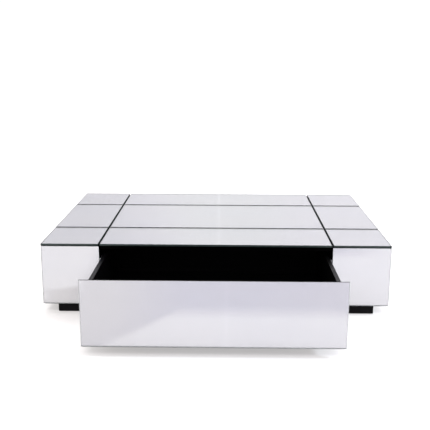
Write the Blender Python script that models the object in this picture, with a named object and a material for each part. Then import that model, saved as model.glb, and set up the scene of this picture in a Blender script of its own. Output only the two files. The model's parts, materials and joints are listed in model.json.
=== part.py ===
"""Mirrored block coffee table with one wide drawer, built as separate solids.

Metres, +Z up. +X is the right-hand side for somebody facing the drawer front, and the
drawer opens towards -Y. The origin lies on the floor under the middle of the table body.
The drawer is drawn part way open, on its three-part ball-bearing slides.
"""

from math import radians

import bmesh
import bpy
from mathutils import Vector

# Outside sizes
TABLE_WIDTH = 1.406
TABLE_DEPTH = 1.000
FOOT_HEIGHT = 0.0455
BODY_HEIGHT = 0.2565
TABLE_HEIGHT = FOOT_HEIGHT + BODY_HEIGHT

# Stock thicknesses
TOP_GLASS = 0.008
WALL_GLASS = 0.005
DECK = 0.018
LINING = 0.009
DRAWER_LINING = 0.007
DRAWER_BOARD = 0.016
DRAWER_FLOOR = 0.006

# Clearances
FIT_GAP = 0.0003
LONG_GROOVE = 0.007
CROSS_GROOVE = 0.010
TOP_REVEAL = 0.0022
MIRROR_ARRIS = 0.0008
BOARD_ARRIS = 0.0010
GLASS_FOOT_MARGIN = 0.0035
FRONT_DROP = 0.0010
FRONT_SIDE_GAP = 0.0040
FRONT_TOP_GAP = 0.0010
FRONT_EDGE_HIDE = 0.002
FRONT_TOP_HIDE = 0.004

# Layout of the blocks: the long grooves run over the edges of the drawer opening
OPENING_HALF = 0.4700
MIDDLE_COLUMN_HALF = 0.4655
MIDDLE_ROW_HALF = 0.224

# Drawer and its slides
DRAWER_OPEN = 0.428
BOX_DEPTH = 0.700
BOX_LOW = 0.080
BOX_HIGH = 0.252
FLOOR_LOW = 0.092
FLOOR_TONGUE = 0.006
SLIDE_SPACE = 0.013
SLIDE_LENGTH = 0.700
SLIDE_SETBACK = 0.004
SLIDE_HEIGHT = 0.045
SLIDE_BELOW_RIM = 0.016
SLIDE_STEEL = 0.0012
SLIDE_LIP = 0.003
BALL_TRACK = 0.0038
CABINET_MEMBER_REACH = 0.0095
MIDDLE_MEMBER_NEAR = 0.004
MIDDLE_MEMBER_REACH = 0.011
DRAWER_MEMBER_REACH = 0.0065

# Inside frame and feet
RAIL_FRONT = 0.250
FOOT_SIZE = 0.120
FOOT_INSET_X = 0.053
FOOT_INSET_Y = 0.033
FOOT_ROUNDING = 0.003
PAD_SIZE = 0.090
PAD_HEIGHT = 0.002
BUMPER_RADIUS = 0.005
BUMPER_TIP_RADIUS = 0.004
BUMPER_X = 0.380
BUMPER_SIDES = 24

# Planes that several pieces share
HALF_WIDTH = TABLE_WIDTH / 2
HALF_DEPTH = TABLE_DEPTH / 2
TOP_GLASS_LOW = TABLE_HEIGHT - TOP_GLASS
WALL_GLASS_LOW = FOOT_HEIGHT + GLASS_FOOT_MARGIN
WALL_GLASS_HIGH = TOP_GLASS_LOW - TOP_REVEAL
WALL_TOP = TOP_GLASS_LOW - FIT_GAP
SHELL_X = HALF_WIDTH - WALL_GLASS - FIT_GAP
SHELL_Y = HALF_DEPTH - WALL_GLASS - FIT_GAP
CARCASS_Y = SHELL_Y - LINING - FIT_GAP
DECK_LOW = WALL_TOP - DECK
FLOOR_DECK_TOP = FOOT_HEIGHT + DECK
UPRIGHT_LOW = FLOOR_DECK_TOP + FIT_GAP
UPRIGHT_HIGH = DECK_LOW - FIT_GAP
PARTITION_OUTER = OPENING_HALF + DECK

# Drawer planes, all with the drawer shut
FRONT_HALF = OPENING_HALF - FRONT_SIDE_GAP
FRONT_LOW = FOOT_HEIGHT - FRONT_DROP
FRONT_TOP = TOP_GLASS_LOW - FRONT_TOP_GAP
FRONT_BACK_Y = -SHELL_Y + DRAWER_LINING
BOX_FRONT_Y = FRONT_BACK_Y + FIT_GAP
BOX_BACK_Y = BOX_FRONT_Y + BOX_DEPTH
BOX_OUTER = OPENING_HALF - SLIDE_SPACE
BOX_INNER = BOX_OUTER - DRAWER_BOARD
SLIDE_FRONT_Y = BOX_FRONT_Y + SLIDE_SETBACK
SLIDE_MID_Z = BOX_HIGH - SLIDE_BELOW_RIM - SLIDE_HEIGHT / 2

# Finishes: colour, metallic, roughness
MIRROR = ((0.86, 0.87, 0.90), 1.0, 0.04)
BLACK_BOARD = ((0.018, 0.017, 0.018), 0.0, 0.45)
BLACK_FOOT = ((0.014, 0.013, 0.015), 0.0, 0.40)
FELT = ((0.05, 0.05, 0.05), 0.0, 0.95)
ZINC = ((0.62, 0.63, 0.65), 1.0, 0.32)
CLEAR_RUBBER = ((0.55, 0.55, 0.54), 0.0, 0.50)


def clear_scene():
    """Take every object out of the open file."""
    for old in list(bpy.data.objects):
        bpy.data.objects.remove(old, do_unlink=True)


def empty_at(name, location):
    """An unseen parent that carries the pieces of one moving group."""
    holder = bpy.data.objects.new(name, None)
    holder.location = location
    bpy.context.scene.collection.objects.link(holder)
    return holder


def finish_material(name, finish):
    """A Principled material of the piece's own."""
    colour, metallic, roughness = finish
    material = bpy.data.materials.new(name + "_finish")
    material.use_nodes = True
    shader = material.node_tree.nodes["Principled BSDF"]
    shader.inputs["Base Color"].default_value = (*colour, 1.0)
    shader.inputs["Metallic"].default_value = metallic
    shader.inputs["Roughness"].default_value = roughness
    return material


def add_piece(name, shape, centre, finish, parent):
    """Turn a bmesh drawn about its own centre into a placed, named object."""
    bmesh.ops.recalc_face_normals(shape, faces=shape.faces[:])
    mesh = bpy.data.meshes.new(name)
    shape.to_mesh(mesh)
    shape.free()
    mesh.materials.append(finish_material(name, finish))
    piece = bpy.data.objects.new(name, mesh)
    piece.location = centre
    piece.parent = parent
    bpy.context.scene.collection.objects.link(piece)
    return piece


def board(name, x, y, z, finish, parent, arris=BOARD_ARRIS, segments=1):
    """A flat panel between two planes on each axis, with its edges eased."""
    low = Vector((x[0], y[0], z[0]))
    high = Vector((x[1], y[1], z[1]))
    shape = bmesh.new()
    bmesh.ops.create_cube(shape, size=1.0)
    bmesh.ops.scale(shape, vec=high - low, verts=shape.verts[:])
    bmesh.ops.bevel(
        shape,
        geom=shape.edges[:],
        offset=arris,
        segments=segments,
        profile=0.5,
        affect="EDGES",
    )
    return add_piece(name, shape, (low + high) / 2, finish, parent)


def mirror(name, x, y, z, parent):
    """One mirrored glass tile."""
    return board(name, x, y, z, MIRROR, parent, arris=MIRROR_ARRIS)


def extrusion(name, outline, length, along, centre, finish, parent):
    """A straight bar with the given outline; along is X or Y, and the outline's second value is Z."""
    shape = bmesh.new()
    if along == "Y":
        start = [Vector((across, -length / 2, up)) for across, up in outline]
        step = Vector((0, length, 0))
    else:
        start = [Vector((-length / 2, across, up)) for across, up in outline]
        step = Vector((length, 0, 0))
    end_face = shape.faces.new([shape.verts.new(point) for point in start])
    grown = bmesh.ops.extrude_face_region(shape, geom=[end_face])
    moved = [part for part in grown["geom"] if isinstance(part, bmesh.types.BMVert)]
    bmesh.ops.translate(shape, vec=step, verts=moved)
    return add_piece(name, shape, centre, finish, parent)


def spans(half, near, groove):
    """Three spans from -half to half, parted by two grooves that start at the distance near."""
    far = near + groove
    return ((-half, -far), (-near, near), (far, half))


def both_sides(span):
    """A span on the right and its image on the left, each as low and high."""
    return (("left", (-span[1], -span[0])), ("right", span))


def top_mirrors(frame):
    """Nine tiles in three rows, with dark grooves between them."""
    columns = spans(HALF_WIDTH, MIDDLE_COLUMN_HALF, LONG_GROOVE)
    rows = spans(HALF_DEPTH, MIDDLE_ROW_HALF, CROSS_GROOVE)
    for row_name, y in zip(("front", "middle", "back"), rows):
        for column_name, x in zip(("left", "centre", "right"), columns):
            name = f"top_mirror_{row_name}_{column_name}"
            mirror(name, x, y, (TOP_GLASS_LOW, TABLE_HEIGHT), frame)


def wall_mirrors(frame):
    """Tiles on the front blocks, both ends and the back, under the overhang of the top tiles."""
    height = (WALL_GLASS_LOW, WALL_GLASS_HIGH)
    front = (-HALF_DEPTH, -HALF_DEPTH + WALL_GLASS)
    back = (HALF_DEPTH - WALL_GLASS, HALF_DEPTH)
    for side, x in both_sides((OPENING_HALF, HALF_WIDTH)):
        mirror(f"front_mirror_{side}", x, front, height, frame)
    columns = spans(HALF_WIDTH, MIDDLE_COLUMN_HALF, LONG_GROOVE)
    for column_name, x in zip(("left", "centre", "right"), columns):
        mirror(f"back_mirror_{column_name}", x, back, height, frame)
    rows = spans(SHELL_Y, MIDDLE_ROW_HALF, CROSS_GROOVE)
    for side, x in both_sides((HALF_WIDTH - WALL_GLASS, HALF_WIDTH)):
        for row_name, y in zip(("front", "middle", "back"), rows):
            mirror(f"{side}_mirror_{row_name}", x, y, height, frame)


def carcass(frame):
    """Black boards that carry the glass: two decks, uprights, linings and a cross rail."""
    width = (-SHELL_X, SHELL_X)
    depth = (-CARCASS_Y, CARCASS_Y)
    wall = (FOOT_HEIGHT, WALL_TOP)
    upright = (UPRIGHT_LOW, UPRIGHT_HIGH)
    board("top_deck", width, depth, (DECK_LOW, WALL_TOP), BLACK_BOARD, frame)
    board("bottom_deck", width, depth, (FOOT_HEIGHT, FLOOR_DECK_TOP), BLACK_BOARD, frame)
    board("back_lining", width, (SHELL_Y - LINING, SHELL_Y), wall, BLACK_BOARD, frame)
    for side, x in both_sides((SHELL_X - DECK, SHELL_X)):
        board(f"{side}_end_panel", x, depth, upright, BLACK_BOARD, frame)
    for side, x in both_sides((OPENING_HALF, PARTITION_OUTER)):
        board(f"{side}_partition", x, depth, upright, BLACK_BOARD, frame)
    for side, x in both_sides((OPENING_HALF, SHELL_X)):
        board(f"{side}_front_lining", x, (-SHELL_Y, -SHELL_Y + LINING), wall, BLACK_BOARD, frame)
    rail_x = OPENING_HALF - FIT_GAP
    rail_y = (RAIL_FRONT, RAIL_FRONT + DECK)
    board("rear_cross_rail", (-rail_x, rail_x), rail_y, upright, BLACK_BOARD, frame)


def feet(frame):
    """Four block feet near the corners and one under the middle, each on a felt pad."""
    out_x = HALF_WIDTH - FOOT_INSET_X - FOOT_SIZE / 2
    out_y = HALF_DEPTH - FOOT_INSET_Y - FOOT_SIZE / 2
    places = {
        "front_left": (-out_x, -out_y),
        "front_right": (out_x, -out_y),
        "back_left": (-out_x, out_y),
        "back_right": (out_x, out_y),
        "centre": (0.0, 0.0),
    }
    half = FOOT_SIZE / 2
    pad = PAD_SIZE / 2
    block = (PAD_HEIGHT + FIT_GAP, FOOT_HEIGHT - FIT_GAP)
    for place, (x, y) in places.items():
        board(
            f"foot_{place}",
            (x - half, x + half),
            (y - half, y + half),
            block,
            BLACK_FOOT,
            frame,
            arris=FOOT_ROUNDING,
            segments=3,
        )
        board(
            f"foot_pad_{place}",
            (x - pad, x + pad),
            (y - pad, y + pad),
            (0.0, PAD_HEIGHT),
            FELT,
            frame,
            arris=PAD_HEIGHT / 4,
        )


def bumpers(frame):
    """Two soft discs on the front edge of the bottom deck, which the shut drawer meets."""
    thickness = -CARCASS_Y - FRONT_BACK_Y - 2 * FIT_GAP
    middle_y = (FRONT_BACK_Y - CARCASS_Y) / 2
    for side, sign in (("left", -1), ("right", 1)):
        shape = bmesh.new()
        bmesh.ops.create_cone(
            shape,
            cap_ends=True,
            segments=BUMPER_SIDES,
            radius1=BUMPER_RADIUS,
            radius2=BUMPER_TIP_RADIUS,
            depth=thickness,
        )
        centre = (sign * BUMPER_X, middle_y, FOOT_HEIGHT + DECK / 2)
        disc = add_piece(f"{side}_bumper", shape, centre, CLEAR_RUBBER, frame)
        disc.rotation_euler = (radians(90), 0, 0)


def grooved_outline(outer, inner):
    """Section of a drawer wall, with the groove that holds the drawer floor in its inner face."""
    away = 1 if outer > inner else -1
    bottom = inner + away * FLOOR_TONGUE
    groove_low = FLOOR_LOW - FIT_GAP
    groove_high = FLOOR_LOW + DRAWER_FLOOR + FIT_GAP
    return [
        (outer, BOX_LOW),
        (outer, BOX_HIGH - BOARD_ARRIS),
        (outer - away * BOARD_ARRIS, BOX_HIGH),
        (inner + away * BOARD_ARRIS, BOX_HIGH),
        (inner, BOX_HIGH - BOARD_ARRIS),
        (inner, groove_high),
        (bottom, groove_high),
        (bottom, groove_low),
        (inner, groove_low),
        (inner, BOX_LOW),
    ]


def drawer(holder):
    """Mirrored front, its lining and the grooved box behind it, drawn shut under their holder."""
    front_y = (-HALF_DEPTH, -HALF_DEPTH + WALL_GLASS)
    front_z = (FRONT_LOW + GLASS_FOOT_MARGIN, FRONT_TOP)
    mirror("drawer_front_mirror", (-FRONT_HALF, FRONT_HALF), front_y, front_z, holder)
    lining_x = FRONT_HALF - FRONT_EDGE_HIDE
    lining_z = (FRONT_LOW, FRONT_TOP - FRONT_TOP_HIDE)
    lining_y = (-SHELL_Y, FRONT_BACK_Y)
    board("drawer_front_lining", (-lining_x, lining_x), lining_y, lining_z, BLACK_BOARD, holder)
    middle_y = (BOX_FRONT_Y + BOX_BACK_Y) / 2
    for side, sign in (("left", -1), ("right", 1)):
        outline = grooved_outline(sign * BOX_OUTER, sign * BOX_INNER)
        name = f"drawer_{side}_side"
        extrusion(name, outline, BOX_DEPTH, "Y", (0, middle_y, 0), BLACK_BOARD, holder)
    inside = 2 * (BOX_INNER - FIT_GAP)
    ends = (
        ("drawer_box_front", BOX_FRONT_Y, BOX_FRONT_Y + DRAWER_BOARD),
        ("drawer_box_back", BOX_BACK_Y, BOX_BACK_Y - DRAWER_BOARD),
    )
    for name, outer, inner in ends:
        extrusion(name, grooved_outline(outer, inner), inside, "X", (0, 0, 0), BLACK_BOARD, holder)
    tongue = FLOOR_TONGUE - FIT_GAP
    floor_x = BOX_INNER + tongue
    floor_y = (BOX_FRONT_Y + DRAWER_BOARD - tongue, BOX_BACK_Y - DRAWER_BOARD + tongue)
    floor_z = (FLOOR_LOW, FLOOR_LOW + DRAWER_FLOOR)
    board("drawer_floor", (-floor_x, floor_x), floor_y, floor_z, BLACK_BOARD, holder)


def channel_outline(sign, web, reach, half_height, lip):
    """Section of a folded steel channel; web and reach are distances in from the partition's face."""
    turn = 1 if reach > web else -1
    web_inside = web + turn * SLIDE_STEEL
    tip_inside = reach - turn * SLIDE_STEEL
    low = half_height - SLIDE_STEEL
    upper = [(web, half_height), (reach, half_height)]
    if lip:
        upper += [(reach, half_height - lip), (tip_inside, half_height - lip), (tip_inside, low)]
    else:
        upper += [(reach, low)]
    upper += [(web_inside, low)]
    lower = [(distance, -height) for distance, height in reversed(upper)]
    return [(sign * (OPENING_HALF - distance), height) for distance, height in upper + lower]


def slides(frame, middle_holder, drawer_holder):
    """A three-part full-extension slide on each side, drawn shut under its holders."""
    cabinet_half = SLIDE_HEIGHT / 2
    middle_half = cabinet_half - SLIDE_STEEL - BALL_TRACK
    drawer_half = middle_half - SLIDE_STEEL - BALL_TRACK
    drawer_web = SLIDE_SPACE - FIT_GAP
    members = (
        ("cabinet_member", frame, FIT_GAP, CABINET_MEMBER_REACH, cabinet_half, SLIDE_LIP),
        ("middle_member", middle_holder, MIDDLE_MEMBER_NEAR, MIDDLE_MEMBER_REACH, middle_half, 0),
        ("drawer_member", drawer_holder, drawer_web, DRAWER_MEMBER_REACH, drawer_half, 0),
    )
    centre = (0, SLIDE_FRONT_Y + SLIDE_LENGTH / 2, SLIDE_MID_Z)
    for side, sign in (("left", -1), ("right", 1)):
        for part, holder, web, reach, half_height, lip in members:
            outline = channel_outline(sign, web, reach, half_height, lip)
            extrusion(f"{side}_slide_{part}", outline, SLIDE_LENGTH, "Y", centre, ZINC, holder)


def build():
    """Make the whole table, with the drawer and the middle slide members on their own parents."""
    clear_scene()
    frame = empty_at("table_frame", (0, 0, 0))
    drawer_holder = empty_at("drawer_travel", (0, -DRAWER_OPEN, 0))
    middle_holder = empty_at("slide_middle_travel", (0, -DRAWER_OPEN / 2, 0))
    top_mirrors(frame)
    wall_mirrors(frame)
    carcass(frame)
    feet(frame)
    bumpers(frame)
    drawer(drawer_holder)
    slides(frame, middle_holder, drawer_holder)


build()
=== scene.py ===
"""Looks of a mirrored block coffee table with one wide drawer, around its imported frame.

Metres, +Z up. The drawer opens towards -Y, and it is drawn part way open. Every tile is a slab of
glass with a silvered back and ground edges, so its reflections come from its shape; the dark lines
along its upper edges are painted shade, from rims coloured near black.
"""

import json
from math import cos, radians, sin, tau

import bmesh
import bpy
from mathutils import Matrix, Vector


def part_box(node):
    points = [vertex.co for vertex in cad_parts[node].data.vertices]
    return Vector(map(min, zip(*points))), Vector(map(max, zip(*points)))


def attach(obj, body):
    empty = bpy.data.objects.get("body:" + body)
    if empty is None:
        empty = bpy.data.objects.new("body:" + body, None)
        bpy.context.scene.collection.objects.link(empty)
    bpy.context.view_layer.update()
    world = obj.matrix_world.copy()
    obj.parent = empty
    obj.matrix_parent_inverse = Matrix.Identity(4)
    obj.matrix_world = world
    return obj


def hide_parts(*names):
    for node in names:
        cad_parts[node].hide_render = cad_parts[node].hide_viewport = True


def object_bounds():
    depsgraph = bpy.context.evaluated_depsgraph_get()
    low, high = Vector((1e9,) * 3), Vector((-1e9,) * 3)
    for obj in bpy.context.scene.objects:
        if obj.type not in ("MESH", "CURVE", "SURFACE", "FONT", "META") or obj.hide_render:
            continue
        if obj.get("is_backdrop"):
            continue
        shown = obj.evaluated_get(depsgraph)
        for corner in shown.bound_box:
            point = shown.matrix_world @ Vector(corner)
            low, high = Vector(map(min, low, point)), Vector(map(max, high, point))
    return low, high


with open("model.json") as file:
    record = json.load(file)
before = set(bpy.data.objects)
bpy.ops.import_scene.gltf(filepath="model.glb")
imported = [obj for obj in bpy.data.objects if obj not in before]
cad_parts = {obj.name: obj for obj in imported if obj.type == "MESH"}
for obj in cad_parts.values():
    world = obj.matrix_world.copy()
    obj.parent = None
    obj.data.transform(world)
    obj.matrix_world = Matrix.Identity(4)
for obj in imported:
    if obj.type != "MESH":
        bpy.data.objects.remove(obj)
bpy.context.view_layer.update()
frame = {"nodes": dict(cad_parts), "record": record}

TABLE = "table_body"
MIDDLES = "slide_middles"
DRAWER = "drawer"
NODES = frame["nodes"]
BODIES = frame["record"]["behaviour"]["bodies"]
BODY_OF = {node: body for body, nodes in BODIES.items() for node in nodes}


# ---------------------------------------------------------------- node materials

class Finish:
    """A Principled material with short helpers for procedural detail in object space."""

    def __init__(self, name):
        self.material = bpy.data.materials.new(name)
        self.material.use_nodes = True
        self.tree = self.material.node_tree
        self.shader = self.tree.nodes["Principled BSDF"]
        self.place = self.tree.nodes.new("ShaderNodeTexCoord").outputs["Object"]

    def set(self, **values):
        """Constants on the shader's own sockets; an underscore in a name stands for a space."""
        for name, value in values.items():
            self.shader.inputs[name.replace("_", " ")].default_value = value
        return self

    def link(self, source, target):
        self.tree.links.new(source, self.shader.inputs[target])

    def stretched(self, scale):
        """Object coordinates multiplied along each axis."""
        mapping = self.tree.nodes.new("ShaderNodeMapping")
        mapping.inputs["Scale"].default_value = scale
        self.tree.links.new(self.place, mapping.inputs["Vector"])
        return mapping.outputs["Vector"]

    def noise(self, scale, detail=2.0, rough=0.5, stretch=None):
        node = self.tree.nodes.new("ShaderNodeTexNoise")
        node.inputs["Scale"].default_value = scale
        node.inputs["Detail"].default_value = detail
        node.inputs["Roughness"].default_value = rough
        where = self.stretched(stretch) if stretch else self.place
        self.tree.links.new(where, node.inputs["Vector"])
        return node.outputs["Fac"]

    def cells(self, scale):
        node = self.tree.nodes.new("ShaderNodeTexVoronoi")
        node.inputs["Scale"].default_value = scale
        self.tree.links.new(self.place, node.inputs["Vector"])
        return node.outputs["Distance"]

    def between(self, value, low, high, start=0.3, stop=0.7):
        """A number that runs from low to high as value runs from start to stop."""
        node = self.tree.nodes.new("ShaderNodeMapRange")
        node.inputs["From Min"].default_value = start
        node.inputs["From Max"].default_value = stop
        node.inputs["To Min"].default_value = low
        node.inputs["To Max"].default_value = high
        self.tree.links.new(value, node.inputs["Value"])
        return node.outputs["Result"]

    def tint(self, value, first, second, start=0.3, stop=0.7):
        """A colour that runs between two as value runs from start to stop."""
        ramp = self.tree.nodes.new("ShaderNodeValToRGB")
        ramp.color_ramp.elements[0].position = start
        ramp.color_ramp.elements[0].color = (*first, 1.0)
        ramp.color_ramp.elements[1].position = stop
        ramp.color_ramp.elements[1].color = (*second, 1.0)
        self.tree.links.new(value, ramp.inputs["Fac"])
        return ramp.outputs["Color"]

    def bump(self, *layers):
        """Bumps on top of each other, each given as (height, depth in metres)."""
        below = None
        for height, depth in layers:
            node = self.tree.nodes.new("ShaderNodeBump")
            node.inputs["Strength"].default_value = 1.0
            node.inputs["Distance"].default_value = depth
            self.tree.links.new(height, node.inputs["Height"])
            if below:
                self.tree.links.new(below, node.inputs["Normal"])
            below = node.outputs["Normal"]
        self.link(below, "Normal")


def clear_glass():
    """Float glass with the slightest roll wave, and wipe marks that barely haze it."""
    finish = Finish("clear_glass").set(IOR=1.52, Transmission_Weight=1.0)
    colour = finish.tint(finish.noise(2.3), (0.985, 0.992, 0.996), (0.992, 0.993, 0.990))
    finish.link(colour, "Base Color")
    wipes = finish.noise(7.0, detail=5.0, rough=0.6, stretch=(1.0, 2.6, 1.6))
    finish.link(finish.between(wipes, 0.0, 0.012), "Roughness")
    finish.bump((finish.noise(3.1, detail=0.0), 0.00006))
    return finish.material


def silvering():
    """The bright metal coat on the back of the glass, a touch lavender, with a little clouding."""
    finish = Finish("silvering").set(Metallic=1.0)
    clouds = finish.noise(3.7, detail=3.0)
    finish.link(finish.tint(clouds, (0.510, 0.509, 0.532), (0.526, 0.523, 0.539)), "Base Color")
    finish.link(finish.between(finish.noise(11.0, detail=4.0), 0.004, 0.020), "Roughness")
    return finish.material


def ground_edge(name, dark, light, gloss):
    """Ground rim of a tile, bare or coloured dark as painted shade, with fine grinding marks along it.
    """
    finish = Finish(name).set(IOR=1.52, Specular_IOR_Level=gloss)
    streaks = finish.noise(900.0, detail=2.0, stretch=(0.05, 0.05, 1.0))
    finish.link(finish.tint(streaks, dark, light), "Base Color")
    finish.link(finish.between(finish.noise(260.0, detail=3.0), 0.26, 0.48), "Roughness")
    finish.bump((streaks, 0.00002))
    return finish.material


def black_laminate():
    """Satin black laminate with a fine pore grain along the board."""
    finish = Finish("black_laminate").set(IOR=1.50, Specular_IOR_Level=0.10)
    finish.set(Specular_Tint=(1.0, 0.90, 1.0, 1.0))
    pores = finish.noise(420.0, detail=4.0, rough=0.65, stretch=(0.12, 1.0, 1.0))
    shade = finish.noise(9.0, detail=3.0, stretch=(0.25, 1.0, 1.0))
    finish.link(finish.tint(shade, (0.0006, 0.0006, 0.0007), (0.0014, 0.0013, 0.0014)), "Base Color")
    finish.link(finish.between(pores, 0.30, 0.46), "Roughness")
    finish.bump((pores, 0.00002))
    return finish.material


def black_stain():
    """Matt black stain on the cabinet boards, which stay very dark even where light falls on them."""
    finish = Finish("black_stain").set(IOR=1.50, Specular_IOR_Level=0.02)
    fibres = finish.noise(640.0, detail=5.0, rough=0.7, stretch=(0.2, 1.0, 1.0))
    shade = finish.noise(6.0, detail=3.0)
    finish.link(finish.tint(shade, (0.0003, 0.0003, 0.0003), (0.0009, 0.0008, 0.0009)), "Base Color")
    finish.link(finish.between(fibres, 0.50, 0.72), "Roughness")
    finish.bump((fibres, 0.00004))
    return finish.material


def foot_paint():
    """Sprayed satin black with orange peel."""
    finish = Finish("foot_paint").set(IOR=1.50, Specular_IOR_Level=0.06)
    peel = finish.noise(330.0, detail=1.0)
    shade = finish.noise(14.0)
    finish.link(finish.tint(shade, (0.0020, 0.0017, 0.0023), (0.0044, 0.0038, 0.0048)), "Base Color")
    finish.link(finish.between(finish.noise(38.0, detail=4.0), 0.34, 0.48), "Roughness")
    finish.bump((peel, 0.00005))
    return finish.material


def pressed_felt():
    """Dark felt with loose fibres."""
    finish = Finish("pressed_felt").set(Sheen_Weight=0.5, Sheen_Roughness=0.5)
    fibres = finish.noise(1500.0, detail=5.0, rough=0.7, stretch=(1.0, 0.35, 1.0))
    finish.link(finish.tint(fibres, (0.012, 0.012, 0.013), (0.055, 0.054, 0.056)), "Base Color")
    finish.link(finish.between(fibres, 0.85, 1.0), "Roughness")
    finish.bump((fibres, 0.0003))
    return finish.material


def clear_rubber():
    """Cloudy clear polyurethane of the door bumpers."""
    finish = Finish("clear_rubber").set(IOR=1.45, Transmission_Weight=0.7)
    finish.link(finish.tint(finish.noise(240.0), (0.62, 0.62, 0.60), (0.80, 0.80, 0.78)), "Base Color")
    finish.link(finish.between(finish.noise(700.0), 0.18, 0.34), "Roughness")
    return finish.material


def zinc_plate():
    """Rolled steel with bright zinc: faint rolling streaks along the slide and a soft mottle."""
    finish = Finish("zinc_plate").set(Metallic=1.0)
    streaks = finish.noise(520.0, detail=3.0, stretch=(1.0, 0.02, 1.0))
    mottle = finish.cells(160.0)
    finish.link(finish.tint(mottle, (0.66, 0.67, 0.69), (0.54, 0.55, 0.57), 0.0, 0.9), "Base Color")
    finish.link(finish.between(streaks, 0.22, 0.40), "Roughness")
    finish.bump((streaks, 0.00001))
    return finish.material


def ball_steel():
    """Polished bearing balls under a film of grease."""
    finish = Finish("ball_steel").set(Metallic=1.0)
    finish.link(finish.tint(finish.noise(300.0), (0.60, 0.60, 0.61), (0.74, 0.74, 0.75)), "Base Color")
    finish.link(finish.between(finish.noise(500.0), 0.08, 0.20), "Roughness")
    return finish.material


def nylon(name, dark, light):
    """Moulded nylon with a faint mottle."""
    finish = Finish(name).set(IOR=1.53, Subsurface_Weight=0.15, Subsurface_Scale=0.002)
    finish.link(finish.tint(finish.noise(210.0), dark, light), "Base Color")
    finish.link(finish.between(finish.noise(620.0), 0.38, 0.52), "Roughness")
    finish.bump((finish.noise(900.0), 0.00002))
    return finish.material


GLASS = clear_glass()
SILVER = silvering()
# The dark and black rim colours are painted shade for the dark lines along the tiles' upper edges; the
# pale one is bare ground glass.
DARK_EDGE = ground_edge("painted_shade_rim", (0.012, 0.018, 0.017), (0.032, 0.042, 0.040), 0.16)
BLACK_EDGE = ground_edge("black_painted_shade_rim", (0.001, 0.001, 0.001), (0.004, 0.004, 0.004), 0.02)
PALE_EDGE = ground_edge("ground_edge", (0.62, 0.66, 0.655), (0.74, 0.78, 0.77), 0.50)
LAMINATE = black_laminate()
STAIN = black_stain()
FOOT = foot_paint()
FELT = pressed_felt()
RUBBER = clear_rubber()
ZINC = zinc_plate()
BALLS = ball_steel()
CAGE_NYLON = nylon("cage_nylon", (0.34, 0.34, 0.33), (0.46, 0.46, 0.44))
# Near white: the stop's own nylon colour, made paler as a painted glint so the left stop shows as a
# small bright spot.
STOP_NYLON_PAINTED_GLINT = nylon("stop_nylon_painted_glint", (0.78, 0.78, 0.77), (0.86, 0.86, 0.85))


# ---------------------------------------------------------------- pieces

def add_piece(name, shape, centre, materials, body, stands_for=()):
    """Turn a bmesh drawn about its own centre into a piece that rides on a body."""
    bmesh.ops.recalc_face_normals(shape, faces=shape.faces[:])
    mesh = bpy.data.meshes.new(name)
    shape.to_mesh(mesh)
    shape.free()
    for material in materials:
        mesh.materials.append(material)
    piece = bpy.data.objects.new(name, mesh)
    piece.location = centre
    bpy.context.scene.collection.objects.link(piece)
    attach(piece, body)
    if stands_for:
        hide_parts(*stands_for)


def block(low, high, rounding, segments):
    """A box between two corners, drawn about its centre, with every edge rounded."""
    shape = bmesh.new()
    bmesh.ops.create_cube(shape, size=1.0)
    bmesh.ops.scale(shape, vec=high - low, verts=shape.verts[:])
    bmesh.ops.bevel(
        shape,
        geom=shape.edges[:],
        offset=rounding,
        segments=segments,
        profile=0.5,
        affect="EDGES",
    )
    return shape


# ---------------------------------------------------------------- mirrored tiles

TOP_ARRIS = 0.0010
WALL_ARRIS = 0.0005
ARRIS_SEGMENTS = 3
# A face is a flat front or back when its normal is this close to square on to it, and a rim gets
# painted shade when its normal leans up by more than this.
SQUARE_ON = 0.9999
LEANS_UP = 0.05
FACING = {
    "top_": Vector((0, 0, 1)),
    "front_": Vector((0, -1, 0)),
    "drawer_front_": Vector((0, -1, 0)),
    "back_": Vector((0, 1, 0)),
    "left_": Vector((-1, 0, 0)),
    "right_": Vector((1, 0, 0)),
}


def mirror_tile(node, facing):
    """A slab of glass: clear in front, silvered behind, ground round its rim.

    Rims are coloured dark as painted shade: all round the top tiles, and along the upper edge of the
    others."""
    low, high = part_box(node)
    on_top = facing.z > 0
    painted_shade_rim = DARK_EDGE if on_top else BLACK_EDGE
    finishes = (GLASS, SILVER, painted_shade_rim, PALE_EDGE)
    shape = block(low, high, TOP_ARRIS if on_top else WALL_ARRIS, ARRIS_SEGMENTS)
    shape.normal_update()
    for face in shape.faces:
        across = face.normal.dot(facing)
        face.smooth = abs(across) <= SQUARE_ON
        if not face.smooth:
            # Upper rims, and every rim of a top tile, get the painted shade colour.
            finish = GLASS if across > 0 else SILVER
        else:
            finish = painted_shade_rim if on_top or face.normal.z > LEANS_UP else PALE_EDGE
        face.material_index = finishes.index(finish)
    name = node.replace("mirror", "tile")
    add_piece(name, shape, (low + high) / 2, finishes, BODY_OF[node], (node,))


for start, facing in FACING.items():
    for node in sorted(NODES):
        if node.startswith(start + "mirror_") or node == start + "mirror":
            mirror_tile(node, facing)


# ---------------------------------------------------------------- carried-over nodes

def refinish(words, material):
    """Give a better material to the CAD nodes whose names hold one of these words."""
    for name, node in NODES.items():
        if any(word in name for word in words) and not node.hide_render:
            node.data.materials.clear()
            node.data.materials.append(material)


refinish(("slide_",), ZINC)
refinish(("foot_pad",), FELT)
refinish(("foot_front", "foot_back", "foot_centre"), FOOT)
refinish(("bumper",), RUBBER)
refinish(("deck", "panel", "partition", "lining", "rail"), STAIN)
refinish(("drawer_",), LAMINATE)


# ---------------------------------------------------------------- slide details

SIDES = (("left", -1), ("right", 1))
# Members: sheet thickness, width of a ball track, and the gap behind the cabinet member.
STEEL = 0.0012
BALL_TRACK = 0.0038
WALL_GAP = 0.0003
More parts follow.
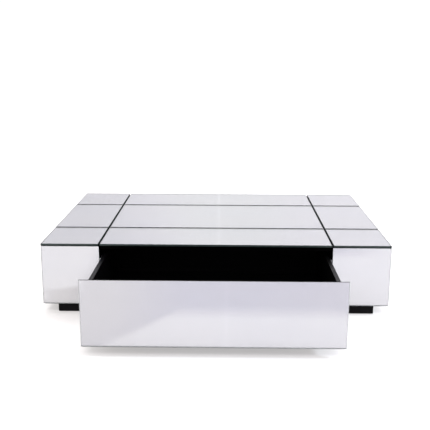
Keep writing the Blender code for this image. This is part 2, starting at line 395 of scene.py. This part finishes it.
# Ball cages: spans along the middle member from its front end, and distances off the partition.
CAGE_RADIUS = 0.0011
BALL_RADIUS = 0.0018
BALL_PITCH = 0.0125
BALL_SEGMENTS = 14
OUTER_CAGE_SPAN = (0.35, 0.65)
INNER_CAGE_SPAN = (0.05, 0.35)
OUTER_BALLS_OFF = 0.0062
INNER_BALLS_OFF = 0.0087
# Track stop: thickness, distances of its sides off the partition, and heights of its steps.
STOP_DEPTH = 0.0025
STOP_NEAR = 0.0004
STOP_THIN = 0.0037
STOP_WIDE = 0.0094
STOP_LEG = 0.0090
STOP_RISE = 0.0020
STOP_CLEAR = 0.0003
STOP_ROUNDING = 0.0003
# Screws: a head's size, its recess and dome as (radius, height) shares of that size, and how far
# back along a slide member, or how far to the side, each head sits.
SCREW_RADIUS = 0.0036
SCREW_HEIGHT = 0.0017
SCREW_SEGMENTS = 32
RECESS_RIM = 0.97
RECESS_ARM = 0.80
RECESS_FLOOR = 0.55
RECESS_RINGS = ((0.22, 0.55), (0.55, 0.62))
DOME_RINGS = ((0.60, 0.96), (0.85, 0.72), (1.00, 0.30), (1.00, 0.00))
CABINET_SCREWS = (0.0135, 0.680)
DRAWER_SCREWS = (0.035, 0.350, 0.665)
FRONT_SCREWS = (-0.36, -0.12, 0.12, 0.36)
FRONT_SCREW_HEIGHT = 0.62


def slide_frame(side, member):
    """The box of one slide member, and the X of the partition face that it is measured from."""
    low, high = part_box(f"{side}_slide_{member}_member")
    cabinet_low, cabinet_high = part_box(f"{side}_slide_cabinet_member")
    wall = cabinet_low.x - WALL_GAP if side == "left" else cabinet_high.x + WALL_GAP
    return low, high, wall


def ball_cage(name, side, sign, span, off, track_high):
    """Two rows of balls, each held in a round nylon strip, above and below the slide's middle."""
    low, high, wall = slide_frame(side, "middle")
    centre = Vector((wall - sign * off, low.y + sum(span) / 2, (low.z + high.z) / 2))
    length = span[1] - span[0]
    rows = (-track_high, track_high)
    shape = bmesh.new()
    for up in rows:
        turn = Matrix.Translation((0, 0, up)) @ Matrix.Rotation(radians(90), 4, "X")
        bmesh.ops.create_cone(
            shape,
            cap_ends=True,
            segments=BALL_SEGMENTS,
            radius1=CAGE_RADIUS,
            radius2=CAGE_RADIUS,
            depth=length,
            matrix=turn,
        )
    strips = set(shape.faces)
    count = int(length / BALL_PITCH) - 1
    for up in rows:
        for step in range(count):
            along = (step - (count - 1) / 2) * BALL_PITCH
            bmesh.ops.create_uvsphere(
                shape,
                u_segments=BALL_SEGMENTS,
                v_segments=BALL_SEGMENTS // 2,
                radius=BALL_RADIUS,
                matrix=Matrix.Translation((0, along, up)),
            )
    for face in shape.faces:
        face.material_index = 1 if face in strips else 0
        face.smooth = len(face.verts) <= 4
    add_piece(name, shape, centre, (BALLS, CAGE_NYLON), MIDDLES)


def track_stop(side, sign):
    """A white L of nylon across a ball track, on the front end of the cabinet member; its near-white
    colour is partly a painted glint.

    One slide fits either side, turned over, so the stop is above on the left and below on the right."""
    low, high, wall = slide_frame(side, "cabinet")
    half = (high.z - low.z) / 2
    under = half - STEEL - BALL_TRACK + STOP_CLEAR
    over = half + STOP_RISE
    outline = [
        (STOP_NEAR, over),
        (STOP_WIDE, over),
        (STOP_WIDE, under),
        (STOP_THIN, under),
        (STOP_THIN, under - STOP_LEG),
        (STOP_NEAR, under - STOP_LEG),
    ]
    shape = bmesh.new()
    corners = [shape.verts.new((-sign * off, 0, -sign * up)) for off, up in outline]
    grown = bmesh.ops.extrude_face_region(shape, geom=[shape.faces.new(corners)])
    moved = [part for part in grown["geom"] if isinstance(part, bmesh.types.BMVert)]
    bmesh.ops.translate(shape, vec=(0, -STOP_DEPTH, 0), verts=moved)
    bmesh.ops.bevel(
        shape,
        geom=shape.edges[:],
        offset=STOP_ROUNDING,
        segments=2,
        profile=0.5,
        affect="EDGES",
    )
    centre = Vector((wall, low.y, (low.z + high.z) / 2))
    add_piece(f"{side}_track_stop", shape, centre, (STOP_NYLON_PAINTED_GLINT,), TABLE)


def screw_head(shape, place, facing):
    """A domed head with a cross recess, added to a bmesh; facing is the way the dome points.

    The recess is a cross, because its floor rises between the arms."""
    turn = facing.to_track_quat("Z", "Y").to_matrix().to_4x4()
    scale = Matrix.Diagonal((SCREW_RADIUS, SCREW_RADIUS, SCREW_HEIGHT, 1.0))
    place = Matrix.Translation(place) @ turn @ scale
    loops = []
    for radius, height in RECESS_RINGS + DOME_RINGS:
        in_recess = (radius, height) in RECESS_RINGS
        loop = []
        for step in range(SCREW_SEGMENTS):
            angle = tau * step / SCREW_SEGMENTS
            in_arm = abs(cos(2 * angle)) > RECESS_ARM
            up = RECESS_RIM if in_recess and not in_arm else height
            loop.append(shape.verts.new(place @ Vector((cos(angle) * radius, sin(angle) * radius, up))))
        loops.append(loop)
    middle = shape.verts.new(place @ Vector((0, 0, RECESS_FLOOR)))
    for step in range(SCREW_SEGMENTS):
        after = (step + 1) % SCREW_SEGMENTS
        shape.faces.new((middle, loops[0][step], loops[0][after]))
        for inner, outer in zip(loops, loops[1:]):
            shape.faces.new((inner[step], outer[step], outer[after], inner[after]))
    shape.faces.new(list(reversed(loops[-1])))


def screws(name, places, facing, material, body):
    """A set of screws that all point the same way, as one piece."""
    centre = sum(places, Vector()) / len(places)
    shape = bmesh.new()
    for place in places:
        screw_head(shape, place - centre, facing)
    add_piece(name, shape, centre, (material,), body)


for side, sign in SIDES:
    low, high, wall = slide_frame(side, "cabinet")
    track = (high.z - low.z) / 2 - STEEL - BALL_TRACK / 2
    ball_cage(f"{side}_outer_ball_cage", side, sign, OUTER_CAGE_SPAN, OUTER_BALLS_OFF, track)
    track -= STEEL + BALL_TRACK
    ball_cage(f"{side}_inner_ball_cage", side, sign, INNER_CAGE_SPAN, INNER_BALLS_OFF, track)
    track_stop(side, sign)
    middle_z = (low.z + high.z) / 2
    web = wall - sign * (WALL_GAP + STEEL)
    spots = [Vector((web, low.y + along, middle_z)) for along in CABINET_SCREWS]
    screws(f"{side}_cabinet_screws", spots, Vector((-sign, 0, 0)), ZINC, TABLE)
    low, high, wall = slide_frame(side, "drawer")
    web = (high.x - STEEL) if side == "left" else (low.x + STEEL)
    spots = [Vector((web, low.y + along, middle_z)) for along in DRAWER_SCREWS]
    screws(f"{side}_drawer_screws", spots, Vector((sign, 0, 0)), ZINC, DRAWER)

low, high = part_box("drawer_box_front")
screw_z = low.z + (high.z - low.z) * FRONT_SCREW_HEIGHT
spots = [Vector((x, high.y, screw_z)) for x in FRONT_SCREWS]
screws("drawer_front_screws", spots, Vector((0, 1, 0)), FOOT, DRAWER)


# ---------------------------------------------------------------- stage, light and camera

# The floor's painted light and shade as colours, and the places in metres where one runs into the next:
# a painted pool of light near the table, painted shade further out and past a slanted edge on the left.
FLOOR_RADIUS = 40.0
# The floor's glow is painted light: it emits, though it is no lamp, to lift its shadows.
FLOOR_GLOW = 0.45
FLOOR_COLOUR = 0.55
PAINTED_POOL_PAPER = (1.004, 0.983, 0.978)
PAINTED_POOL_LEFT = (0.950, 0.924, 0.906)
PAINTED_SHADE_LEFT = (0.822, 0.796, 0.786)
PAINTED_SHADE_FRONT = (0.752, 0.734, 0.780)
SHADE_START_Y = -1.24
SHADE_FULL_Y = -1.50
SHADE_LEAST = 0.18
SHADE_SLANT = 0.727
SHADE_SLANT_START = -1.115
SHADE_SLANT_FULL = -1.215
SHADE_LEFT_EDGE = (-0.68, -0.58)
SHADE_RIGHT_EDGE = (1.05, 0.50)
PAINTED_SHADE_BLEND = (-0.55, -0.05)
PAINTED_POOL_BLEND = (-0.60, 0.0)
# A thin line, the seam, painted a little brighter in the floor's colour and glow.
SEAM_X = 0.0445
SEAM_WIDTH = 0.012
SEAM_GAIN = 0.045
SEAM_RISE = (-1.02, -1.08)
# The surroundings' tints and strengths, and the directions, as parts of a unit vector, where one
# runs into the next.
WORLD_SIDES = (0.990, 0.978, 1.022)
WORLD_MIDDLE = (0.990, 0.992, 1.010)
WORLD_LEFT = 1.155
WORLD_CENTRE = 1.32
WORLD_RIGHT = 1.355
WORLD_HORIZON = 1.05
WORLD_LEFT_EDGE = (-0.20, -0.04)
WORLD_RIGHT_EDGE = (0.04, 0.20)
WORLD_RISE = (0.07, 0.18)
WORLD_TINT_EDGE = (0.03, 0.12)
WORLD_SEAM_X = -0.0086
WORLD_SEAM_WIDTH = 0.0040
WORLD_SEAM_GAIN = 0.09
# The camera's lens in millimetres, its place in metres and its angles in degrees.
SENSOR_WIDTH = 36.0
LENS = 60.67
VIEW_DEPTH = 200.0
EYE = (0.0377, -3.2900, 1.0866)
EYE_TILT = 76.649
EYE_ROLL = -0.196
EYE_TURN = 0.880


class Maths:
    """Small helpers for number and colour nodes in one node tree."""

    def __init__(self, tree):
        self.tree = tree

    def ease(self, value, start, stop, low=0.0, high=1.0):
        """A soft step from low to high as value runs from start to stop."""
        node = self.tree.nodes.new("ShaderNodeMapRange")
        node.interpolation_type = "SMOOTHSTEP"
        rising = start < stop
        node.inputs["From Min"].default_value = start if rising else stop
        node.inputs["From Max"].default_value = stop if rising else start
        node.inputs["To Min"].default_value = low if rising else high
        node.inputs["To Max"].default_value = high if rising else low
        self.tree.links.new(value, node.inputs["Value"])
        return node.outputs["Result"]

    def calculate(self, operation, first, second):
        """One maths operation on two values, each a socket or a number."""
        node = self.tree.nodes.new("ShaderNodeMath")
        node.operation = operation
        for socket, value in zip(node.inputs, (first, second)):
            if isinstance(value, bpy.types.NodeSocket):
                self.tree.links.new(value, socket)
            else:
                socket.default_value = value
        return node.outputs["Value"]

    def apart(self, value, spot):
        """How far a value lies from a number, on either side of it."""
        return self.calculate("ABSOLUTE", self.calculate("SUBTRACT", value, spot), 0.0)

    def mix(self, share, first, second):
        """A blend of two colours, each a socket or three numbers."""
        node = self.tree.nodes.new("ShaderNodeMixRGB")
        self.tree.links.new(share, node.inputs["Fac"])
        for name, value in (("Color1", first), ("Color2", second)):
            if isinstance(value, bpy.types.NodeSocket):
                self.tree.links.new(value, node.inputs[name])
            else:
                node.inputs[name].default_value = (*value, 1.0)
        return node.outputs["Color"]

    def scaled(self, colour, amount):
        """A colour multiplied by a number, which is a socket or a constant."""
        node = self.tree.nodes.new("ShaderNodeVectorMath")
        node.operation = "SCALE"
        self.tree.links.new(colour, node.inputs["Vector"])
        if isinstance(amount, bpy.types.NodeSocket):
            self.tree.links.new(amount, node.inputs["Scale"])
        else:
            node.inputs["Scale"].default_value = amount
        return node.outputs["Vector"]


def paper_floor():
    """Pale paper lit from above, which also glows a little, a painted light that lifts its shadows.

    Its colour and glow are painted: a pool of light near the table, and painted shade further out in
    front of the drawer and past a slanted edge on the left, with one thin line, the seam, painted a
    little brighter."""
    shape = bmesh.new()
    bmesh.ops.create_circle(shape, cap_ends=True, segments=96, radius=FLOOR_RADIUS)
    mesh = bpy.data.meshes.new("paper_floor")
    shape.to_mesh(mesh)
    shape.free()
    floor = bpy.data.objects.new("paper_floor", mesh)
    bpy.context.scene.collection.objects.link(floor)
    floor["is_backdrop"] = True
    finish = Finish("studio_paper").set(Roughness=0.9, Specular_IOR_Level=0.0)
    finish.set(Emission_Strength=FLOOR_GLOW)
    maths = Maths(finish.tree)
    split = finish.tree.nodes.new("ShaderNodeSeparateXYZ")
    finish.tree.links.new(finish.place, split.inputs["Vector"])
    x, y = split.outputs["X"], split.outputs["Y"]
    # Masks for the painted shade: further out in front of the drawer, and past a slanted edge on the
    # left.
    ahead = maths.ease(y, SHADE_START_Y, SHADE_FULL_Y)
    slanted = maths.calculate("ADD", x, maths.calculate("MULTIPLY", y, SHADE_SLANT))
    aside = maths.ease(slanted, SHADE_SLANT_START, SHADE_SLANT_FULL)
    deepest = maths.calculate("MAXIMUM", maths.calculate("MAXIMUM", ahead, aside), SHADE_LEAST)
    from_left, from_right = maths.ease(x, *SHADE_LEFT_EDGE), maths.ease(x, *SHADE_RIGHT_EDGE)
    inside = maths.calculate("MULTIPLY", from_left, from_right)
    share = maths.calculate("MULTIPLY", deepest, inside)
    # Painted shade and a painted pool of light, mixed by the masks above.
    painted_shade = maths.mix(maths.ease(x, *PAINTED_SHADE_BLEND), PAINTED_SHADE_LEFT, PAINTED_SHADE_FRONT)
    bright = maths.mix(maths.ease(x, *PAINTED_POOL_BLEND), PAINTED_POOL_LEFT, PAINTED_POOL_PAPER)
    tone = maths.mix(share, bright, painted_shade)
    # The seam: a thin line painted brighter.
    near_seam = maths.ease(maths.apart(x, SEAM_X), 0.0, SEAM_WIDTH, SEAM_GAIN, 0.0)
    seam = maths.calculate("MULTIPLY", near_seam, maths.ease(y, *SEAM_RISE))
    tone = maths.scaled(tone, maths.calculate("ADD", seam, 1.0))
    finish.link(maths.scaled(tone, FLOOR_COLOUR), "Base Color")
    finish.link(tone, "Emission Color")
    mesh.materials.append(finish.material)


def soft_sun(name, strength, spread, elevation, azimuth, colour=(1.0, 1.0, 1.0)):
    """A broad soft lamp, not itself seen in the glass; azimuth 0 shines from -Y, 90 from +X."""
    lamp = bpy.data.lights.new(name, "SUN")
    lamp.energy = strength
    lamp.color = colour
    lamp.angle = radians(spread)
    holder = bpy.data.objects.new(name, lamp)
    holder.rotation_euler = (radians(90 - elevation), 0, radians(azimuth))
    holder.visible_glossy = False
    holder.visible_transmission = False
    bpy.context.scene.collection.objects.link(holder)


def studio_world():
    """White surroundings, dimmer on the left above the horizon, with one thin brighter seam."""
    world = bpy.data.worlds.new("studio")
    world.use_nodes = True
    tree = world.node_tree
    maths = Maths(tree)
    background = tree.nodes["Background"]
    split = tree.nodes.new("ShaderNodeSeparateXYZ")
    direction = tree.nodes.new("ShaderNodeTexCoord").outputs["Generated"]
    tree.links.new(direction, split.inputs["Vector"])
    x, z = split.outputs["X"], split.outputs["Z"]
    left = maths.ease(x, *WORLD_LEFT_EDGE, WORLD_LEFT - WORLD_CENTRE, 0.0)
    right = maths.ease(x, *WORLD_RIGHT_EDGE, 0.0, WORLD_RIGHT - WORLD_CENTRE)
    sideways = maths.calculate("ADD", left, right)
    above = maths.calculate("ADD", sideways, WORLD_CENTRE - WORLD_HORIZON)
    above = maths.calculate("MULTIPLY", above, maths.ease(z, *WORLD_RISE))
    strength = maths.calculate("ADD", above, WORLD_HORIZON)
    seam = maths.ease(maths.apart(x, WORLD_SEAM_X), 0.0, WORLD_SEAM_WIDTH, WORLD_SEAM_GAIN, 0.0)
    tree.links.new(maths.calculate("ADD", strength, seam), background.inputs["Strength"])
    off_centre = maths.ease(maths.apart(x, 0.0), *WORLD_TINT_EDGE)
    tree.links.new(maths.mix(off_centre, WORLD_MIDDLE, WORLD_SIDES), background.inputs["Color"])
    bpy.context.scene.world = world


def camera():
    """Eye height above the floor, looking down at the front of the table."""
    lens = bpy.data.cameras.new("camera")
    lens.sensor_width = SENSOR_WIDTH
    lens.lens = LENS
    lens.clip_end = VIEW_DEPTH
    eye = bpy.data.objects.new("camera", lens)
    eye.location = EYE
    eye.rotation_euler = (radians(EYE_TILT), radians(EYE_ROLL), radians(EYE_TURN))
    bpy.context.scene.collection.objects.link(eye)
    bpy.context.scene.camera = eye


paper_floor()
studio_world()
soft_sun("rear_light", strength=1.0, spread=24, elevation=73, azimuth=170)
soft_sun("front_light", strength=1.45, spread=14, elevation=42, azimuth=0)
soft_sun("side_light", strength=1.95, spread=9, elevation=38, azimuth=65, colour=(0.92, 1.00, 1.08))
camera()
bpy.context.scene.view_settings.view_transform = "Standard"

low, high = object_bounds()
